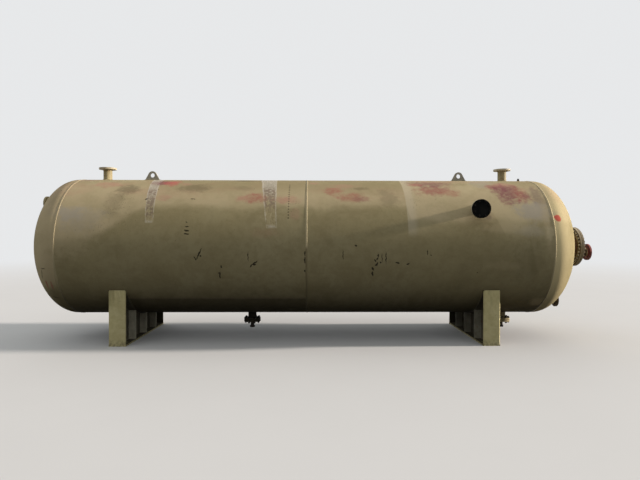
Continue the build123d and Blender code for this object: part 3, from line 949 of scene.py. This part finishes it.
def bolted_joint(place, pitch_d, count, back):
    """Studs with a nut at each end, round a joint with its faces at back and at 0."""
    reach = NUT_HEIGHT + STUD_PROUD
    parts = []
    for i in range(count):
        angle = math.pi * (2 * i + 1) / count
        spot = place @ Matrix.Translation(polar(pitch_d / 2, angle))
        twist = Matrix.Rotation(angle + 0.37 * i * i, 4, "Z")
        parts.append(moved(threaded_rod(STUD_D, back - reach, reach), spot @ twist))
        nut = hex_nut(NUT_FLATS, NUT_HEIGHT, STUD_D)
        for start in (0.0, back - NUT_HEIGHT):
            parts.append(moved(nut, spot @ twist @ Matrix.Translation((0, 0, start))))
    return parts


def facing(place, direction):
    """A matrix at a place whose Z runs along the direction."""
    z = Vector(direction)
    x = Vector((0, 1, 0)) if abs(z.x) else Vector((1, 0, 0))
    turn = Matrix((x, z.cross(x), z)).transposed().to_4x4()
    return Matrix.Translation(place) @ turn


def face_of(node, direction):
    """The middle of a node's face that looks along the direction, and the node's depth."""
    low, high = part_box(node)
    axis = max(range(3), key=lambda i: abs(direction[i]))
    place = (low + high) / 2
    place[axis] = high[axis] if direction[axis] > 0 else low[axis]
    return place, high[axis] - low[axis]


def add_studs():
    """The bolting of the four closed joints."""
    steels = {name: bolt_steel(name, *values) for name, values in BOLT_STEELS.items()}
    for name, (direction, cover, flange, pitch_d, count, steel) in JOINTS.items():
        origin, thickness = face_of(f"{name}_{cover}", direction)
        back = -(thickness + GASKET + flange)
        parts = bolted_joint(facing(origin, direction), pitch_d, count, back)
        mesh_piece(name + "_studs", parts, steels[steel])


# Weld beads: radius, and the spacing of their ripples
FILLET = 0.009
MANWAY_FILLET = 0.014
FLANGE_FILLET = 0.006
LUG_FILLET = 0.01
PLATE_FILLET = 0.006
RIB_FILLET = 0.005
LONG_RIPPLE = 0.012

# Saddle plates and ribs
WEAR_PLATE = 0.0127
END_PLATE = 0.016
RIB_HALF = 0.00635
RIB_OFFSETS = (-0.405, 0, 0.405)

# Necks and the way each runs out; the cover nozzle's starts on the manway's flat cover
NECKS = {
    "top_left_nozzle": (0, 0, 1),
    "top_right_nozzle": (0, 0, 1),
    "bottom_left_nozzle": (0, 0, -1),
    "bottom_right_nozzle": (0, 0, -1),
    "side_nozzle": (0, -1, 0),
    "left_head_nozzle": (-1, 0, 0),
    "right_head_nozzle": (1, 0, 0),
    "cover_nozzle": (1, 0, 0),
    "manway": (1, 0, 0),
}


def bead(path, normals, radius, ripple=BEAD_RIPPLE, closed=True):
    """A weld bead along points, sunk to half in the corner that it fills."""
    count = len(path)
    rings = []
    run = 0.0
    for i in range(count):
        before = path[i - 1] if closed or i else path[i]
        after = path[(i + 1) % count] if closed or i < count - 1 else path[i]
        along = (after - before).normalized()
        across = along.cross(normals[i]).normalized()
        up = across.cross(along).normalized()
        run += (path[i] - before).length
        swell = radius * (1 + 0.1 * math.sin(2 * math.pi * run / ripple))
        spokes = [math.cos(a) * across + math.sin(a) * up for a in turns(BEAD_SIDES)]
        rings.append([path[i] + swell * spoke for spoke in spokes])
    return tube(rings, closed_along=closed)


def straight_bead(start, end, normal, radius):
    """A weld bead along a straight corner."""
    steps = max(2, int((end - start).length / LONG_RIPPLE * 3))
    path = [start.lerp(end, i / steps) for i in range(steps + 1)]
    return bead(path, [Vector(normal)] * len(path), radius, LONG_RIPPLE, closed=False)


def ring_bead(place, direction, radius, bead_r, onto=lambda point: point):
    """A weld bead round a pipe, its points moved onto the skin that carries it."""
    steps = max(48, int(2 * math.pi * radius / BEAD_RIPPLE * 5))
    base = facing(place, direction)
    path = [onto(base @ polar(radius, angle)) for angle in turns(steps)]
    return bead(path, [Vector(direction)] * steps, bead_r)


def onto_skin(direction):
    """What moves a point onto the vessel's skin, along the direction's axis."""

    def move(point):
        if direction[0]:
            distance = math.hypot(point.y, point.z - AXIS_Z)
            bulge = HEAD_DEPTH * math.sqrt(max(1 - (distance / SHELL_R) ** 2, 0))
            x = MIDDLE_X + direction[0] * (COURSE + STRAIGHT_FLANGE + bulge)
            return Vector((x, point.y, point.z))
        if direction[2]:
            height = math.sqrt(max(SHELL_R**2 - point.y**2, 0))
            return Vector((point.x, point.y, AXIS_Z + direction[2] * height))
        depth = math.sqrt(max(SHELL_R**2 - (point.z - AXIS_Z) ** 2, 0))
        return Vector((point.x, direction[1] * depth, point.z))

    return move


def neck_radius(node, direction):
    """A neck's radius, from its box across its own direction."""
    low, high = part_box(node)
    return max(high[i] - low[i] for i in range(3) if not direction[i]) / 2


def middle(node):
    low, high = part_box(node)
    return (low + high) / 2


def add_neck_welds(material):
    """Fillet welds round each neck, at the skin and behind its flange."""
    parts = []
    for name, direction in NECKS.items():
        if name == "cover_nozzle":
            continue
        neck = name + "_neck"
        radius = neck_radius(neck, direction)
        fillet = MANWAY_FILLET if name == "manway" else FILLET
        parts.append(ring_bead(middle(neck), direction, radius, fillet, onto_skin(direction)))
    for name, direction in NECKS.items():
        inward = tuple(-value for value in direction)
        place, _ = face_of(name + "_flange", inward)
        radius = neck_radius(name + "_neck", direction)
        parts.append(ring_bead(place, direction, radius, FLANGE_FILLET))
    mesh_piece("neck_welds", parts, material)


def lug_welds():
    """Fillets along each lifting lug's foot."""
    parts = []
    for node in ("lifting_lug_left", "lifting_lug_right"):
        low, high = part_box(node)
        seat = AXIS_Z + math.sqrt(SHELL_R**2 - high.y**2)
        feet = ((low.x, low.y), (high.x, low.y), (high.x, high.y), (low.x, high.y))
        corners = [Vector((x, y, seat)) for x, y in feet]
        for i in range(4):
            parts.append(straight_bead(corners[i], corners[(i + 1) % 4], (0, 0, 1), LUG_FILLET))
    return parts


def coupling_weld():
    """A fillet round the small top connection."""
    up = (0, 0, 1)
    low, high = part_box("top_coupling")
    radius = (high.x - low.x) / 2
    return ring_bead(middle("top_coupling"), up, radius, FLANGE_FILLET, onto_skin(up))


def wear_plate_welds(side):
    """Fillets where a saddle's wear plate lies on the shell."""
    low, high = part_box(side + "_saddle_wear_plate")
    half_angle = math.acos((AXIS_Z - high.z) / SHELL_R)
    steps = int(2 * half_angle * SHELL_R / (LONG_RIPPLE / 3))
    angles = [half_angle * (2 * i / steps - 1) for i in range(steps + 1)]
    normals = [Vector((0, math.sin(angle), -math.cos(angle))) for angle in angles]
    parts = []
    for x in (low.x, high.x):
        path = [Vector((x, 0, AXIS_Z)) + SHELL_R * outward for outward in normals]
        parts.append(bead(path, normals, FILLET, LONG_RIPPLE, closed=False))
    return parts


def saddle_welds(side):
    """Fillets of a saddle's web, ribs and end plates."""
    base_low, base_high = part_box(side + "_saddle_base_plate")
    web_low, web_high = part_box(side + "_saddle_web_plate")
    inner = base_high.y - END_PLATE
    top = base_high.z
    up = (0, 0, 1)
    parts = []

    def weld(start, end, normal, radius):
        parts.append(straight_bead(Vector(start), Vector(end), normal, radius))

    for x in (web_low.x, web_high.x):
        weld((x, -inner, top), (x, inner, top), up, PLATE_FILLET)
    for y in (-inner, inner):
        weld((base_low.x, y, top), (base_high.x, y, top), up, PLATE_FILLET)
    for near, edge in ((web_low.x, base_low.x), (web_high.x, base_high.x)):
        outward = (1 if edge > near else -1, 0, 0)
        for offset in RIB_OFFSETS:
            end = AXIS_Z - math.sqrt((SHELL_R + WEAR_PLATE) ** 2 - offset**2)
            for y in (offset - RIB_HALF, offset + RIB_HALF):
                weld((near, y, top), (edge, y, top), up, RIB_FILLET)
                weld((near, y, top), (near, y, end), outward, RIB_FILLET)
    return parts


def add_plate_welds(finishes):
    """The welds of the lugs, saddles and small connection."""
    weld, web = finishes["weld_paint"], finishes["saddle_web_paint"]
    mesh_piece("lug_welds", lug_welds() + [coupling_weld()], weld)
    for side in ("left", "right"):
        mesh_piece(side + "_wear_welds", wear_plate_welds(side), weld)
        mesh_piece(side + "_saddle_welds", saddle_welds(side), web)


# Light, floor and backdrop

BACKGROUND = (0.8, 0.81, 0.82, 1)
SKYLIGHT = (0.97, 0.99, 1.0, 1)
SKYLIGHT_STRENGTH = 0.62
SKY_AT_HORIZON = 0.4
SKY_FULL_FROM = 0.55
LEFT_SKY_GAIN = 0.5
FLOOR_BOUNCE = (0.04, 0.04, 0.04, 1)
FLOOR_GREY = (0.615, 0.615, 0.605, 1)
FLOOR_PALE = (0.625, 0.625, 0.615, 1)
FLOOR_REACH = 60
FADE_START = 7
FADE_END = 26
KEY_COLOUR = (1.0, 0.9, 0.82)
KEY_STRENGTH = 6.35
KEY_ANGLE = math.radians(3)
KEY_ELEVATION = math.radians(13.5)
KEY_BEHIND = math.radians(1)
KEY_DISTANCE = 20


def seen_directly(nodes):
    """Whether a ray looks at the scene, rather than lighting it."""
    path = nodes.node("ShaderNodeLightPath")
    share = path.outputs["Is Camera Ray"]
    for name in ("Is Glossy Ray", "Is Transmission Ray"):
        share = nodes.math("MAXIMUM", share, path.outputs[name])
    return share


def sky_strength(nodes):
    """Soft light, stronger from above and a little more from the left."""
    x, _, z = nodes.axes(nodes.node("ShaderNodeTexCoord").outputs["Generated"])
    full = SKYLIGHT_STRENGTH * (1 + LEFT_SKY_GAIN)
    by_height = nodes.fade(z, 0.0, SKY_FULL_FROM, SKY_AT_HORIZON, 1.0, "LINEAR")
    return nodes.product(by_height, nodes.fade(x, 0.0, -1.0, SKYLIGHT_STRENGTH, full, "LINEAR"))


def make_world():
    """A pale backdrop to the eye, and soft light from all round."""
    world = bpy.data.worlds.new("studio")
    bpy.context.scene.world = world
    world.use_nodes = True
    nodes = Nodes(world.node_tree)
    light = nodes.tree.nodes["Background"]
    nodes.filled(light, SKYLIGHT, sky_strength(nodes))
    shown = nodes.filled(nodes.node("ShaderNodeBackground"), BACKGROUND)
    blend = nodes.node("ShaderNodeMixShader")
    blended = nodes.filled(blend, seen_directly(nodes), light.outputs[0], shown[0])
    nodes.feed(nodes.tree.nodes["World Output"].inputs["Surface"], blended[0])


def make_floor():
    """A wide pale floor that takes the shadow and fades into the backdrop."""
    look = Surface("floor_paper", roughness=0.95)
    seen = seen_directly(look)
    grain = look.fade(look.noise(0.7, 3), 0.3, 0.7)
    look.finish(look.mix(seen, FLOOR_BOUNCE, look.mix(grain, FLOOR_GREY, FLOOR_PALE)))
    away = look.vector("LENGTH", look.vector("SUBTRACT", look.place, (MIDDLE_X, 0, 0)))
    gone = look.product(look.fade(away, FADE_START, FADE_END), seen)
    backdrop = look.filled(look.node("ShaderNodeEmission"), BACKGROUND)
    blend = look.node("ShaderNodeMixShader")
    blended = look.filled(blend, gone, look.shader.outputs[0], backdrop[0])
    look.feed(look.tree.nodes["Material Output"].inputs["Surface"], blended[0])
    mesh = bpy.data.meshes.new("floor")
    signs = ((-1, -1), (1, -1), (1, 1), (-1, 1))
    corners = [(MIDDLE_X + i * FLOOR_REACH, j * FLOOR_REACH, 0) for i, j in signs]
    mesh.from_pydata(corners, [], [[0, 1, 2, 3]])
    mesh.materials.append(look.material)
    floor = added("floor", mesh)


def make_key():
    """A soft warm light, low from the right and a little behind."""
    data = bpy.data.lights.new("key", "SUN")
    data.energy = KEY_STRENGTH
    data.angle = KEY_ANGLE
    data.color = KEY_COLOUR
    lamp = added("key", data)
    level = math.cos(KEY_ELEVATION)
    x, y = level * math.cos(KEY_BEHIND), level * math.sin(KEY_BEHIND)
    from_there = Vector((x, y, math.sin(KEY_ELEVATION)))
    lamp.rotation_euler = (-from_there).to_track_quat("-Z", "Y").to_euler()
    lamp.location = from_there * KEY_DISTANCE


make_camera()
finishes = make_finishes()
paint_nodes(finishes)
add_studs()
add_neck_welds(finishes["weld_paint"])
add_plate_welds(finishes)
bpy.context.scene.view_settings.view_transform = "Standard"
make_world()
make_floor()
make_key()

bpy.context.view_layer.update()
